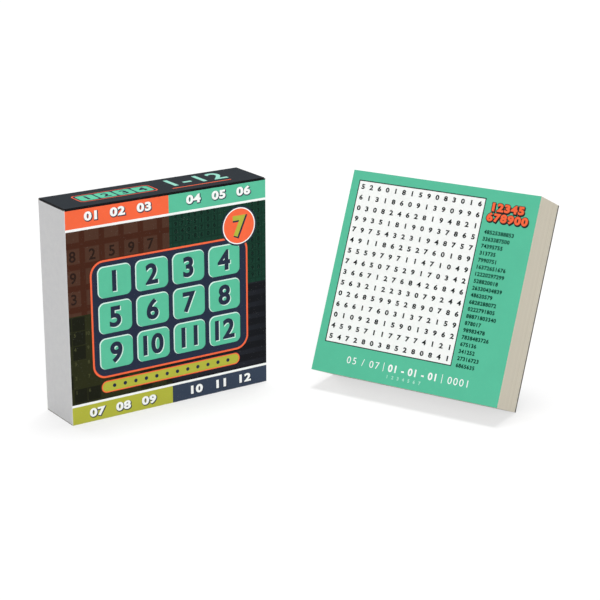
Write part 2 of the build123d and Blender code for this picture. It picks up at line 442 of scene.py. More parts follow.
rust_field = field_finish("rust_field", shade(67, 34, 21), shade(77, 50, 38),
                          (RUST_CELL, RUST_CELL), 0.36, edge=0.03)
green_field = field_finish("green_field", shade(15, 48, 36), shade(19, 56, 43),
                           (GREEN_CELL, GREEN_CELL), 0.4)
olive_field = field_finish("olive_field", shade(40, 42, 20), shade(22, 24, 12),
                           (OLIVE_CELL, OLIVE_CELL), 0.47, chance=0.42, edge=0.02)
night_field = field_finish("night_field", shade(18, 19, 24), shade(31, 33, 40),
                           (BAR_LONG, BAR_PITCH), 0.2)
print("fields", rust_field.name, green_field.name, olive_field.name, night_field.name)

# %% Making a piece
def add_object(name, data):
    made = bpy.data.objects.new(name, data)
    scene.collection.objects.link(made)
    return made


def mesh_of(bm, name):
    mesh = bpy.data.meshes.new(name)
    bm.to_mesh(mesh)
    bm.free()
    return mesh


def new_mesh(name, points, polygons):
    mesh = bpy.data.meshes.new(name)
    mesh.from_pydata(points, [], polygons)
    return mesh


def make_piece(name, mesh, finishes, place, body, slot, stands_for=()):
    piece = add_object(name, mesh)
    for material in finishes:
        mesh.materials.append(material)
    piece.matrix_world = place
    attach(piece, body)
    if stands_for:
        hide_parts(*stands_for)
    print(name, "has", len(mesh.polygons), "faces")
    return piece


# %% [markdown]
# A printed panel could be one slab with print floating over it. Cutting its face along the
# borders of the printed fields is cleaner: each field is a face of the board with its own
# ink, and nothing overlaps. The same maker serves the carton's panels and the pad's leaves.
# Folded edges are rounded by a bevel, and cut edges stay sharp.

# %% A sheet cut along its print
REAR, EDGE, FIRST_INK = 0, 1, 2
FOLD_RADIUS, FOLD_STEPS = 0.35 * MM, 3


def cut_sheet(across, up, depth, pick, folded=(), sides=None):
    """A closed sheet; pick tells the ink of the field round a point."""
    bm = bmesh.new()
    rear, face = [[[bm.verts.new((x, y, z)) for x in across] for y in up] for z in depth]
    columns, rows = len(across) - 1, len(up) - 1
    for r in range(rows):
        for c in range(columns):
            ring = [(r, c), (r, c + 1), (r + 1, c + 1), (r + 1, c)]
            shown = bm.faces.new([face[i][j] for i, j in ring])
            shown.material_index = pick((across[c] + across[c + 1]) / 2, (up[r] + up[r + 1]) / 2)
            bm.faces.new([rear[i][j] for i, j in reversed(ring)]).material_index = REAR
    border = {"bottom": [(0, c) for c in range(columns + 1)],
              "right": [(r, columns) for r in range(rows + 1)],
              "top": [(rows, c) for c in range(columns, -1, -1)],
              "left": [(r, 0) for r in range(rows, -1, -1)]}
    rounded = []
    for side, places in border.items():
        for (i, j), (k, m) in zip(places, places[1:]):
            wall = bm.faces.new((rear[i][j], rear[k][m], face[k][m], face[i][j]))
            wall.material_index = (sides or {}).get(side, EDGE)
            if side in folded:
                rounded.append(bm.edges.get((face[i][j], face[k][m])))
    if rounded:
        bmesh.ops.bevel(bm, geom=rounded, offset=FOLD_RADIUS, segments=FOLD_STEPS, profile=0.5,
                        affect="EDGES", loop_slide=True, material=-1)
    return mesh_of(bm, "sheet")


plain = cut_sheet([0, 1], [0, 1], [0, 0.1], lambda x, y: FIRST_INK)
print("a sheet of one field has", len(plain.polygons), "faces")

# %% [markdown]
# The carton's front has a band along its top and one along its bottom, each in two colours,
# and white rules between them and the dark middle. It is cut a hair lower than the lid, as on
# real cartons. Its last strip and its top edge are inked near black as painted shade, the
# shade of the gap under the lid, so that they and the lid's edge meet in one dark line. The
# ink could be chosen face by face by hand; a table of rows is shorter.

# %% The carton's front panel
CUT_LOWER, DARK_STRIP = 0.42 * MM, 0.8 * MM
BAND_LOW, RULE_LOW, FIELD_MIDDLE, RULE_HIGH, BAND_HIGH = (
    y * MM for y in (11.2, 12.7, 68.6, 120.9, 122.4))
low, high = extent("carton_front_panel", front_frame)
front_face, front_top = high.z, high.y - CUT_LOWER
FRONT_ROWS = (
    (BAND_LOW, lime_ink, navy_ink), (RULE_LOW, white_ink, white_ink),
    (FIELD_MIDDLE, olive_field, night_field), (RULE_HIGH, rust_field, green_field),
    (BAND_HIGH, white_ink, white_ink), (front_top - DARK_STRIP, orange_ink, teal_ink),
    (front_top, painted_shade_ink, painted_shade_ink))
front_inks = [orange_ink, teal_ink, white_ink, rust_field, green_field, olive_field,
              night_field, lime_ink, navy_ink, painted_shade_ink]


def front_ink(x, y):
    _, left, right = next(row for row in FRONT_ROWS if y < row[0])
    return FIRST_INK + front_inks.index(right if x > 0 else left)


FRONT_WALL, FRONT_FOLD = (FIRST_INK + k for k in (len(front_inks), front_inks.index(painted_shade_ink)))
front_up = [low.y, *(row[0] for row in FRONT_ROWS)]
mesh = cut_sheet([low.x, 0.0, high.x], front_up, [low.z, high.z], front_ink,
                 folded=("left", "right"),
                 sides={"left": FRONT_WALL, "right": FRONT_WALL, "top": FRONT_FOLD})
make_piece("carton_front", mesh, [raw_board, cut_board, *front_inks, coated_board], front_frame,
           "carton", "carton_printed", ["carton_front_panel"])

# %% [markdown]
# The lid continues the dark print. It is folded at its front, into the tuck flap, and at its
# back, where it hinges. A narrow rim at its front and sides, and all its cut edges, are inked
# near black as painted shade along its folds and edges. A dark line could be laid on the lid
# for that, but a rim that is a field of its own follows the rounded edge.

# %% The lid
LID_RIM = 0.5 * MM
low, high = extent("carton_lid_panel", top_frame)
lid_face = high.z
left_line, right_line, front_line = low.x + LID_RIM, high.x - LID_RIM, low.y + LID_RIM


def lid_ink(x, y):
    return FIRST_INK + (0 if left_line < x < right_line and y > front_line else 1)


mesh = cut_sheet([low.x, left_line, right_line, high.x], [low.y, front_line, high.y],
                 [low.z, high.z], lid_ink, folded=("bottom", "top"),
                 sides=dict.fromkeys(("bottom", "top", "left", "right"), FIRST_INK + 1))
make_piece("carton_lid", mesh, [raw_board, cut_board, charcoal_ink, painted_shade_ink], top_frame,
           "lid", "carton_dark", ["carton_lid_panel"])

# %% [markdown]
# The back panel is the front's plain sister: one dark field over the same two-coloured band.
# It could be a mirrored copy of the front, but it has fewer fields, so a sheet of its own is
# shorter. Seen from behind, left and right change places, and so do the band's colours.

# %% The back panel
low, high = extent("carton_back_panel", back_frame)
back_face, back_inks = high.z, [charcoal_ink, lime_ink, navy_ink]
BACK_WALL = FIRST_INK + len(back_inks)


def back_ink(x, y):
    return FIRST_INK + (0 if y > BAND_LOW else 2 if x < 0 else 1)


mesh = cut_sheet([low.x, 0.0, high.x], [low.y, BAND_LOW, high.y], [low.z, high.z], back_ink,
                 folded=("left", "right"), sides={"left": BACK_WALL, "right": BACK_WALL})
make_piece("carton_back", mesh, [raw_board, cut_board, *back_inks, coated_board], back_frame,
           "carton", "carton_printed", ["carton_back_panel"])

# %% [markdown]
# The plain walls and the flaps already have the right shape in the CAD model. They could be
# drawn again as sheets, but copying them keeps their corners and tapers exact, and only the
# edges have to be eased. Faces are then sorted by the way they turn: outside, inside, or a
# cut edge. The lid's dark ink runs on over the dust flaps, and their cut edges are inked near
# black; both paint the shade of the gap beside the lid, so that no white shows there.

# %% Boards copied from the CAD model
WELD, FLAT_ANGLE, SHARP_ANGLE, FACING = 1e-6, 0.01, 0.6, 0.6
CARTON_EASE = 0.08 * MM
PLAIN_BOARD = [coated_board, raw_board, cut_board]
# The dust flaps are dark outside and near black on their cut edges: painted shade of the gap beside
# the lid.
DUST_BOARD = [charcoal_ink, raw_board, painted_shade_ink]
TUCK_BOARD = [charcoal_ink, raw_board, cut_board]


def dressed(name, node_name, body, outward, finishes, slot="carton_board", ease=CARTON_EASE):
    """A copy of a CAD board in three finishes: outside, inside and cut edge."""
    bm = bmesh.new()
    bm.from_mesh(frame["nodes"][node_name].data)
    bmesh.ops.remove_doubles(bm, verts=bm.verts, dist=WELD)
    bmesh.ops.dissolve_limit(bm, angle_limit=FLAT_ANGLE, verts=bm.verts, edges=bm.edges)
    sharp = [e for e in bm.edges if len(e.link_faces) == 2 and e.calc_face_angle() > SHARP_ANGLE]
    bmesh.ops.bevel(bm, geom=sharp, offset=ease, segments=2, profile=0.5, affect="EDGES")
    bm.normal_update()
    for f in bm.faces:
        facing = f.normal.dot(outward)
        f.material_index = 0 if facing > FACING else 1 if facing < -FACING else 2
    make_piece(name, mesh_of(bm, name), finishes, Matrix.Identity(4), body, slot, [node_name])


for side, outward in (("left", -RIGHT), ("right", RIGHT)):
    flap = f"dust_flap_{side}"
    dressed(f"carton_{side}_wall", f"carton_{side}_panel", "carton", outward, PLAIN_BOARD)
    dressed(flap, f"carton_{flap}", flap, UP, DUST_BOARD)
    dressed(f"bottom_dust_{side}", f"carton_bottom_dust_{side}", "carton", -UP, PLAIN_BOARD)
for layer in ("outer", "inner"):
    dressed(f"bottom_{layer}", f"carton_bottom_{layer}", "carton", -UP, PLAIN_BOARD)
dressed("glue_flap", "carton_glue_flap", "carton", BACK, PLAIN_BOARD)
dressed("tuck_flap", "carton_tuck_flap", "tuck_flap", -BACK, TUCK_BOARD, "carton_dark")

# %% [markdown]
# Print that isn't a plain field, such as numerals, badges and rules, is laid on top as thin
# solids, a few hundredths of a millimetre thick, like real ink but exact at any zoom. The
# numerals come from Blender's own font. A text object would do for one line; taking the
# outline of each numeral once, and repeating it, is lighter for a page of them.

# %% Outlines of numerals
def area(ring):
    x, y = ring[:, 0], ring[:, 1]
    return (x * np.roll(y, -1) - np.roll(x, -1) * y).sum() / 2


@cache
def outline(text, gap, steps):
    """Loops round numerals one unit high, about their middle, with the ink on the left."""
    curve = bpy.data.curves.new("numerals", "FONT")
    curve.body, curve.space_character, curve.resolution_u = text, gap, steps
    holder = add_object("numerals", curve)
    bpy.context.view_layer.update()
    shown = holder.evaluated_get(bpy.context.evaluated_depsgraph_get())
    flat = bpy.data.meshes.new_from_object(shown)
    bm = bmesh.new()
    bm.from_mesh(flat)
    bmesh.ops.remove_doubles(bm, verts=bm.verts, dist=1e-5)
    after = {c.vert.index: c.link_loop_next.vert.index
             for f in bm.faces for c in f.loops if c.edge.is_boundary}
    spots = [(v.co.x, v.co.y) for v in bm.verts]
    bm.free()
    bpy.data.objects.remove(holder)
    bpy.data.curves.remove(curve)
    bpy.data.meshes.remove(flat)
    loops = []
    while after:
        start, ring = next(iter(after)), []
        while start in after:
            ring.append(spots[start])
            start = after.pop(start)
        loops.append(np.array(ring))
    if sum(area(ring) for ring in loops) <= 0:
        loops = [ring[::-1] for ring in loops]
    low, high = np.concatenate(loops).min(0), np.concatenate(loops).max(0)
    return [(ring - (low + high) / 2) / (high[1] - low[1]) for ring in loops]


print("numeral 8 has", len(outline("8", 1.0, 3)), "loops")

# %% [markdown]
# Headings are printed in heavier strokes than lists. A bold font would need a file, so the
# outline itself is moved outwards. Where strokes then overlap, the winding number tells the
# ink from the paper: it counts how often the loops turn round a point.

# %% Heavier strokes
def heavier(ring, weight):
    """The loop moved outwards by the same distance all along."""
    ahead = np.roll(ring, -1, 0) - ring
    ahead /= np.linalg.norm(ahead, axis=1)[:, None]
    right = np.stack([ahead[:, 1], -ahead[:, 0]], 1)
    before = np.roll(right, 1, 0)
    sharp = np.maximum(0.5, 1 + (right * before).sum(1))
    return ring + weight * (right + before) / sharp[:, None]


def turns(spots, loops):
    """How often the loops wind round each spot; inside the ink that is once or more."""
    x, y = spots.T
    total = np.zeros(len(spots), int)
    for ring in loops:
        for (ax, ay), (bx, by) in zip(ring, np.roll(ring, -1, 0)):
            left = (bx - ax) * (y - ay) - (by - ay) * (x - ax) > 0
            total += (ay <= y) & (y < by) & left
            total -= (by <= y) & (y < ay) & ~left
    return total


ring = outline("1", 1.0, 3)[0]
print("numeral 1 covers", round(area(ring), 2), "and in bold", round(area(heavier(ring, 0.05)), 2))

# %% [markdown]
# A loop becomes a solid by filling it with triangles, at the bottom and at the top, and by
# joining the two with walls. A fan of triangles would do for a disc, but an 8 has holes.
# Blender's own triangulation copes with them. It knows nothing of ink, so the winding number
# picks the triangles that stay.

# %% Numerals as solids
def filled(loops):
    """The spots of the loops, and triangles between them that cover the ink."""
    starts = np.cumsum([0] + [len(ring) for ring in loops])
    edges = [(start + i, start + (i + 1) % len(ring))
             for ring, start in zip(loops, starts) for i in range(len(ring))]
    corners = [Vector(spot) for spot in np.concatenate(loops)]
    flat = delaunay_2d_cdt(corners, edges, [], 0, 1e-6, False)
    spots, triangles = np.array([tuple(spot) for spot in flat[0]]), np.array(flat[2])
    return spots, triangles[turns(spots[triangles].mean(1), loops) > 0]


@cache
def numerals(text, weight=0.0, gap=1.0, steps=3):
    """Plain numerals one unit high and thick; weight thickens their strokes."""
    loops = [(ring, heavier(ring, weight)) for ring in outline(text, gap, steps)]
    spots, triangles = filled([moved for ring, moved in loops if area(ring) * area(moved) > 0])
    sides = {(t[i], t[i - 2]) for t in triangles for i in range(3)}
    count = len(spots)
    points = np.concatenate([np.c_[spots, np.full(count, z)] for z in (0.0, 1.0)])
    polygons = [[i, j, count + j, count + i] for i, j in sorted(sides) if (j, i) not in sides]
    polygons += [[count + i, count + j, count + k] for i, j, k in triangles]
    polygons += [[k, j, i] for i, j, k in triangles]
    return points, polygons


print("numeral 4 has", len(numerals("4", 0.03)[1]), "faces")

# %% [markdown]
# Tiles, plates, rules and dots are all one shape: a slab with rounded corners. It could be
# a cube with a bevel, but a ring of points is as short to write, and a disc is simply a slab
# whose corners meet.

# %% Slabs
CORNERS = ((1, 1), (-1, 1), (-1, -1), (1, -1))


def rounded_slab(wide, high, corner):
    """A slab one unit thick with rounded corners, in millimetres."""
    ring, steps = [], 4 + round(corner)
    for k, (sx, sy) in enumerate(CORNERS):
        for s in range(steps + 1):
            angle = math.pi / 2 * (k + s / steps)
            ring.append((sx * (wide / 2 - corner) + corner * math.cos(angle),
                         sy * (high / 2 - corner) + corner * math.sin(angle)))
    count = len(ring)
    points = np.array([(x, y, z) for z in (0.0, 1.0) for x, y in ring])
    walls = [[i, (i + 1) % count, count + (i + 1) % count, count + i] for i in range(count)]
    return points, [list(range(count))[::-1], list(range(count, 2 * count)), *walls]


print("a slab has", len(rounded_slab(4, 2, 0.5)[1]), "faces")

# %% [markdown]
# A printer lays ink in layers, a dark shape under a pale one. Here each sheet has a Print
# that collects its marks layer by layer and joins them into one piece at the end. One object
# for each mark would be easier to pick, but a page has hundreds of them.

# %% Layers of print
LAYER, SUNK, DISC_GAP = 0.01 * MM, 0.4, 0.01
LARGE, COARSE, FINE = 4, 3, 8


class Print:
    """Collects marks for one sheet, in millimetres, then lays them as one piece."""

    def __init__(self, name, face, inks, place, body, slot):
        self.name, self.face, self.inks, self.rides = name, face, inks, (place, body, slot)
        self.points, self.polygons, self.slots = [], [], []

    def mark(self, shape, x, y, size, ink, layer, stretch=1.0):
        points, polygons = shape
        start, bottom = len(self.points), self.face + (layer - SUNK) * LAYER
        wide, high, thick = size * stretch * MM, size * MM, (1 + SUNK) * LAYER
        self.points.extend((x * MM + p[0] * wide, y * MM + p[1] * high, bottom + p[2] * thick)
                           for p in points)
        self.polygons.extend([start + i for i in polygon] for polygon in polygons)
        self.slots.extend([self.inks.index(ink)] * len(polygons))

    def slab(self, wide, high, corner, x, y, ink, layer):
        self.mark(rounded_slab(wide, high, corner), x, y, 1, ink, layer)

    def framed(self, wide, high, corners, rim, x, y, inks, layer):
        """A slab with a rim in another ink round it."""
        self.slab(wide, high, corners[0], x, y, inks[0], layer)
        self.slab(wide - 2 * rim, high - 2 * rim, corners[1], x, y, inks[1], layer + 1)

    def disc(self, across, x, y, ink, layer):
        self.slab(across, across, across / 2 - DISC_GAP, x, y, ink, layer)

    def number(self, text, x, y, tall, ink, layer, weight=0.03, gap=1.0, stretch=1.0):
        shape = numerals(text, weight, gap, COARSE if tall < LARGE else FINE)
        self.mark(shape, x, y, tall, ink, layer, stretch)

    def doubled(self, text, x, y, tall, inks, layer, weights, drop=(0.6, -0.6), **more):
        """A number over a second one that lies a little aside, like a shadow."""
        for k, (dx, dy) in enumerate((drop, (0, 0))):
            self.number(text, x + dx, y + dy, tall, inks[k], layer + k, weights[k], **more)

    def lay(self):
        mesh = new_mesh(self.name, self.points, self.polygons)
        mesh.polygons.foreach_set("material_index", self.slots)
        mesh.validate()
        return make_piece(self.name, mesh, self.inks, *self.rides)


print("a layer of ink is", round(LAYER / MM, 3), "mm thick")

# %% [markdown]
# The front's motif is a block of twelve numbered tiles, one for each month, in the pad's
# teal on a navy plate with an orange border. A real bevel would catch the light, but print
# is flat. A pale slab under each tile, a little up and to the left, reads as a glint along
# its edge, and so does a pale number under the dark one.

# %% Tiles on the carton's front
TILE_WIDE, TILE_HIGH, TILE_CORNER, GLINT, TILE_NUMBER = 22.8, 19.8, 4.0, 0.4, 12
PITCH_X, PITCH_Y, TILES_Y = 25.8, 22.6, 64.0
PLATE_WIDE, PLATE_HIGH, PLATE_RIM, PLATE_X, PLATE_Y = 111.0, 74.4, 1.2, 0.6, TILES_Y - 0.8
PLATE_CORNERS = (9, 8)
rust_mark = ink_finish("rust_mark", shade(40, 24, 17))
green_mark = ink_finish("green_mark", shade(7, 28, 21))
olive_mark = ink_finish("olive_mark", shade(70, 72, 44))
front_print = Print("carton_front_print", front_face,
                    [orange_ink, shadow_ink, teal_ink, glint_ink, white_ink, lime_ink,
                     rust_mark, green_mark, olive_mark], front_frame, "carton", "carton_printed")
front_print.framed(PLATE_WIDE, PLATE_HIGH, PLATE_CORNERS, PLATE_RIM, PLATE_X, PLATE_Y,
                   (orange_ink, shadow_ink), 1)
for month in range(12):
    x, y = (month % 4 - 1.5) * PITCH_X, TILES_Y + (1 - month // 4) * PITCH_Y
    front_print.slab(TILE_WIDE, TILE_HIGH, TILE_CORNER, x, y, glint_ink, 3)
    front_print.slab(TILE_WIDE - 2 * GLINT, TILE_HIGH - 2 * GLINT, TILE_CORNER - GLINT,
                     x + GLINT, y - GLINT, teal_ink, 4)
    front_print.doubled(str(month + 1), x, y, TILE_NUMBER, (glint_ink, shadow_ink), 5, (0.05, 0.05))
print("tiles stand", PITCH_X, "mm apart")

# %% [markdown]
# A round badge overlaps the plate's corner, a strip of dots lies under the plate, and each
# end of the two bands carries the numbers of three months. All of them are slabs, discs and
# doubled numbers, only in other sizes and inks.

# %% Badge, strip of dots and month numbers
BADGE_X, BADGE_Y, BADGE_LAYER = 50, 107, 7
STRIP_WIDE, STRIP_HIGH, STRIP_CORNERS, STRIP_RIM, STRIP_Y = 99, 7.6, (3.7, 3), 0.7, 20.2
DOT, DOT_PITCH = 2.4, 7.4
BAND_X, BAND_Y, BAND_PITCH, BAND_NUMBER = (-35, 35.5), (129, 5.7), 18, 4.9
rings = ((25.6, shadow_ink), (23.6, white_ink), (22.2, orange_ink))
for k, (across, ink) in enumerate(rings):
    front_print.disc(across, BADGE_X, BADGE_Y, ink, BADGE_LAYER + k)
front_print.doubled("7", BADGE_X, BADGE_Y, TILE_NUMBER, (shadow_ink, lime_ink),
                    BADGE_LAYER + len(rings), (0.1, 0.06))
front_print.framed(STRIP_WIDE, STRIP_HIGH, STRIP_CORNERS, STRIP_RIM, 0, STRIP_Y,
                   (orange_ink, lime_ink), 1)
for month in range(12):
    front_print.disc(DOT, (month - 5.5) * DOT_PITCH, STRIP_Y, shadow_ink, 3)
    x, y = BAND_X[month // 3 % 2] + (month % 3 - 1) * BAND_PITCH, BAND_Y[month // 6]
    front_print.doubled(f"{month + 1:02d}", x, y, BAND_NUMBER, (shadow_ink, white_ink), 1,
                        (0.13, 0.07), drop=(0.3, -0.4), gap=1.1, stretch=1.35)
print("marks so far", len(front_print.slots), "faces")

# %% [markdown]
# Faint digits lie on three of the dark fields, one in the middle of a cell, where neither
# the plate nor the badge covers them. They could be typed in one by one. Drawing them by lot
# is shorter, and a seed makes every run draw the same ones.

# %% Faint digits on the dark fields
LEFT_OF_PLATE, RIGHT_OF_PLATE, RUST_ABOVE, GREEN_ABOVE, BADGE_ROOM = -60, 59, 100, 102, 15
RUST_TALL, GREEN_TALL, OLIVE_TALL = 6.4, 2.7, 2.2
OLIVE_X, OLIVE_Y, OLIVE_ROWS = (-66.4, -57.6), 20.6, 5
dice = random.Random(3)
for row in range(3):
    for column in range(5):
        x, y = (column - 5) * RUST_CELL, (row + 6) * RUST_CELL
        if x < LEFT_OF_PLATE or y > RUST_ABOVE:
            front_print.number(str(dice.randrange(10)), x, y, RUST_TALL, rust_mark, 1)
for row in range(11):
    for column in range(14):
        x, y = (column + 1) * GREEN_CELL, (row + 16) * GREEN_CELL
        if x > RIGHT_OF_PLATE or (y > GREEN_ABOVE and abs(x - BADGE_X) > BADGE_ROOM):
            front_print.number(str(dice.randrange(10)), x, y, GREEN_TALL, green_mark, 1,
                               weight=0.04)
for row in range(OLIVE_ROWS):
    for k, x in enumerate(OLIVE_X):
        text, y = str(row + 1 + k * OLIVE_ROWS), OLIVE_Y + row * OLIVE_CELL
        front_print.number(text, x, y, OLIVE_TALL, olive_mark, 1)
front_print.lay()

# %% [markdown]
# The lid repeats a few tiles at its left and a range of numbers in pale teal at its right,
# over an orange rule, so that the carton can be told from above.

# %% Print on the lid
LID_WIDE, LID_HIGH, LID_CORNERS, LID_BORDER, LID_X, LID_Y = 53, 15.4, (2.6, 2.1), 0.7, -27, 0.6
LID_TILE, LID_TILE_CORNER, LID_PITCH, LID_NUMBER = 11.4, 1.8, 12.6, 7.0
RANGE_X, RANGE_Y, RANGE_TALL = 32, 4.2, 14.5
RULE_X, RULE_Y, RULE_LONG, RULE_THICK = 29, -8.4, 42, 1.0
lid_inks = [orange_ink, shadow_ink, teal_ink, pale_teal_ink]
lid_print = Print("carton_lid_print", lid_face, lid_inks, top_frame, "lid", "carton_dark")
lid_print.framed(LID_WIDE, LID_HIGH, LID_CORNERS, LID_BORDER, LID_X, LID_Y,
                 (orange_ink, shadow_ink), 1)
for month in range(4):
    x = LID_X + (month - 1.5) * LID_PITCH
    lid_print.slab(LID_TILE, LID_TILE, LID_TILE_CORNER, x, LID_Y, teal_ink, 3)
    lid_print.number(str(month + 1), x, LID_Y, LID_NUMBER, shadow_ink, 4, weight=0.05)
lid_print.number("1-12", RANGE_X, RANGE_Y, RANGE_TALL, pale_teal_ink, 1, gap=1.15)
lid_print.slab(RULE_LONG, RULE_THICK, 0.4, RULE_X, RULE_Y, orange_ink, 1)
lid_print.lay()

# %% [markdown]
# The back shows four sample leaves in the colours of the pad, each a page with a white panel,
# ruled lines and a date line, and a white label on the band. Rules stand for small print.

# %% Print on the back
SAMPLE, SAMPLE_CORNERS, SAMPLE_RIM, SAMPLE_PITCH, SAMPLES_Y = 46.8, (1, 0.8), 0.4, 56, 74
WHITE_WIDE, WHITE_HIGH, WHITE_LEFT, WHITE_UP = 31, 36, 5, 2.6
RULES, RULE_PITCH, SMALL_LONG, SMALL_THICK = 8, 4.1, 26, 0.9
FOOT_LONG, FOOT_THICK, FOOT_DOWN = 22, 1.6, 19
LABEL_X, LABEL_Y, LABEL_WIDE, LABEL_HIGH = -44, 5.5, 38, 7
samples = (orange_ink, teal_ink, lime_ink, navy_ink)
back_print = Print("carton_back_print", back_face, [*samples, white_ink, shadow_ink], back_frame,
                   "carton", "carton_printed")
for k, ink in enumerate(samples):
    x, y = (k % 2 - 0.5) * SAMPLE_PITCH, SAMPLES_Y + (0.5 - k // 2) * SAMPLE_PITCH
    panel_x, panel_y = x - WHITE_LEFT, y + WHITE_UP
    back_print.framed(SAMPLE, SAMPLE, SAMPLE_CORNERS, SAMPLE_RIM, x, y, (white_ink, ink), 1)
    back_print.slab(WHITE_WIDE, WHITE_HIGH, 0.4, panel_x, panel_y, white_ink, 3)
    for row in range(RULES):
        line_y = panel_y + (row - (RULES - 1) / 2) * RULE_PITCH
        back_print.slab(SMALL_LONG, SMALL_THICK, 0.3, panel_x, line_y, shadow_ink, 4)
    back_print.slab(FOOT_LONG, FOOT_THICK, 0.5, x, y - FOOT_DOWN, white_ink, 3)
back_print.slab(LABEL_WIDE, LABEL_HIGH, 0.6, LABEL_X, LABEL_Y, white_ink, 1)
back_print.lay()

# %% [markdown]
# The pad's leaves are thin uncoated paper. Seen from the side, hundreds of cut edges make a
# warm grey with fine lines, because no two leaves have quite the same tone. The finish mixes
# a tone that each leaf carries with the paper's fibre.

# %% Leaf paper and its cut edges
def edge_recipe(tree, where):
    tone = node(tree, "ShaderNodeAttribute", attribute_name="leaf_tone").outputs["Fac"]
    fibre = placed(tree, paper_fibre, vector=where, size=0.5)
    share = weighed(tree, tone, 0.75, fibre["Tone"])
    colour = mixed(tree, share, shade(199, 192, 176), shade(224, 218, 203))
    return colour, drifting(tree, fibre["Tone"], 0.78, 0.92), fibre["Height"]


leaf_edges = make_finish("leaf_edges", shine=0.2, raised=0.02, recipe=edge_recipe)
leaf_paper = board_finish("leaf_paper", shade(244, 243, 238), shade(234, 232, 225), 0.5,
                          rough=0.85, raised=0.008)
print("paper", leaf_edges.name, leaf_paper.name)

# %% [markdown]
# A striped texture would look like a stack of leaves only from afar, so every leaf of the
# twelve month blocks is modelled. Each is a thin box that ends a little beside the last one,
# as leaves do after trimming, with a tone of its own for the finish to read.

# %% The stack, leaf by leaf
MONTHS = ("january february march april may june july august september october november "
          "december").split()
MONTH_LEAVES = (26, 24, 27, 26, 26, 26, 27, 26, 26, 26, 26, 27)
LOOSE = 3
DRIFT_KEPT, DRIFT, RAGGED, FOOT_RAGGED = 0.85, 0.045 * MM, 0.03 * MM, 0.06 * MM
GAP_SHARE, LEAF_SHARE, TONE, TONE_SPREAD = 0.06, 0.88, 0.55, 0.22
BOX = ((3, 2, 1, 0), (4, 5, 6, 7), (0, 1, 5, 4), (1, 2, 6, 5), (2, 3, 7, 6), (3, 0, 4, 7))
dice = random.Random(20)


def leaf_stack(name, node_name, leaves, keep_back=0):
    """Separate leaves filling a CAD block, from its back to its front."""
    low, high = extent(node_name, pad_frame)
    pitch = (high.z - low.z) / leaves
    points, polygons, tones = [], [], []
    drift = 0.0
    for k in range(leaves - keep_back):
        drift = DRIFT_KEPT * drift + dice.uniform(-DRIFT, DRIFT)
        x0, x1 = (edge + drift + dice.uniform(-RAGGED, RAGGED) for edge in (low.x, high.x))
        foot = low.y + abs(drift) + dice.uniform(0.0, FOOT_RAGGED)
        z0, start = low.z + (k + GAP_SHARE) * pitch, len(points)
        for z in (z0, z0 + LEAF_SHARE * pitch):
            points += [(x0, foot, z), (x1, foot, z), (x1, high.y, z), (x0, high.y, z)]
        polygons += [[start + i for i in ring] for ring in BOX]
        tones += [min(1.0, max(0.0, dice.gauss(TONE, TONE_SPREAD)))] * len(BOX)
    mesh = new_mesh(name, points, polygons)
    mesh.attributes.new("leaf_tone", "FLOAT", "FACE").data.foreach_set("value", tones)
    make_piece(name, mesh, [leaf_edges], pad_frame, "pad", "leaf_paper", [node_name])


for month, leaves in zip(MONTHS, MONTH_LEAVES):
    first = month == "january"
    leaf_stack(f"{month}_leaves", f"leaves_{month}", leaves - LOOSE * first, keep_back=int(first))
print("leaves modelled one by one:", sum(MONTH_LEAVES) - LOOSE - 1)

# %% [markdown]
# Each leaf of the week has its own colour and its own puzzle, on a white panel with a thin
# dark border. A leaf is a cut sheet like the carton's panels, thinner than the room it has
# in the stack, so that its print stays clear of the leaf in front.

# %% The page maker
PANEL_LEFT, PANEL_RIGHT, PANEL_LOW, PANEL_HIGH, BORDER = -59.5, 29.4, 20.0, 124.5, 0.65
LEAF_THICK, LEAF_FILLS, LEAF_CLEAR = 0.09 * MM, 0.55, 0.003 * MM
leaf_colours = {"teal": shade(93, 195, 160), "orange": ORANGE, "lime": LIME, "navy": NAVY,
                "white": shade(252, 254, 252), "dark": shade(38, 42, 42),
                "green": shade(8, 54, 41), "mist": shade(176, 226, 208)}
leaf_inks = {name: ink_finish(f"leaf_{name}_ink", colour, mottle=0.035, gloss=0.75)
             for name, colour in leaf_colours.items()}
page_dark, page_white = leaf_inks["dark"], leaf_inks["white"]


def panel_ink(x, y):
    out = max(PANEL_LEFT - x / MM, x / MM - PANEL_RIGHT, PANEL_LOW - y / MM, y / MM - PANEL_HIGH)
    return FIRST_INK + (2 if out < 0 else 1 if out < BORDER else 0)


def page(name, node_name, body, slot, ground, in_block=False):
    """A leaf with a bordered white panel; returns a Print for its marks."""
    low, high = extent(node_name, pad_frame)
    if in_block:
        low.z = high.z - LEAF_THICK
    face = low.z + LEAF_FILLS * (high.z - low.z)
    across, up = ([first, *(v * MM for v in (start - BORDER, start, end, end + BORDER)), last]
                  for first, start, end, last in ((low.x, PANEL_LEFT, PANEL_RIGHT, high.x),
                                                  (low.y, PANEL_LOW, PANEL_HIGH, high.y)))
    mesh = cut_sheet(across, up, [low.z + LEAF_CLEAR, face], panel_ink)
    finishes = [leaf_paper, leaf_paper, leaf_inks[ground], page_dark, page_white]
    make_piece(name, mesh, finishes, pad_frame, body, slot, [] if in_block else [node_name])
    return Print(f"{name}_print", face, list(leaf_inks.values()), pad_frame, body, slot)


print("leaf inks", sorted(leaf_inks))

# %% [markdown]
# Every page has its date at the foot, in white on the page's colour. Here it is plain
# numbers: the day of the week, the date and the count of the days, with a bar between them,
# and a small line of seven figures below.

# %% The date at the foot of a page
WEEK, FIRST_WEEKDAY = 7, 5
DATE_Y, BARS_X, BAR_THICK, BAR_TALL = 10.6, (-15.2, 25.8), 0.4, 5.6
FIGURES, FIGURES_X, FIGURES_Y, FIGURES_TALL = "1 2 3 4 5 6 7", 0.2, 5.1, 2.0


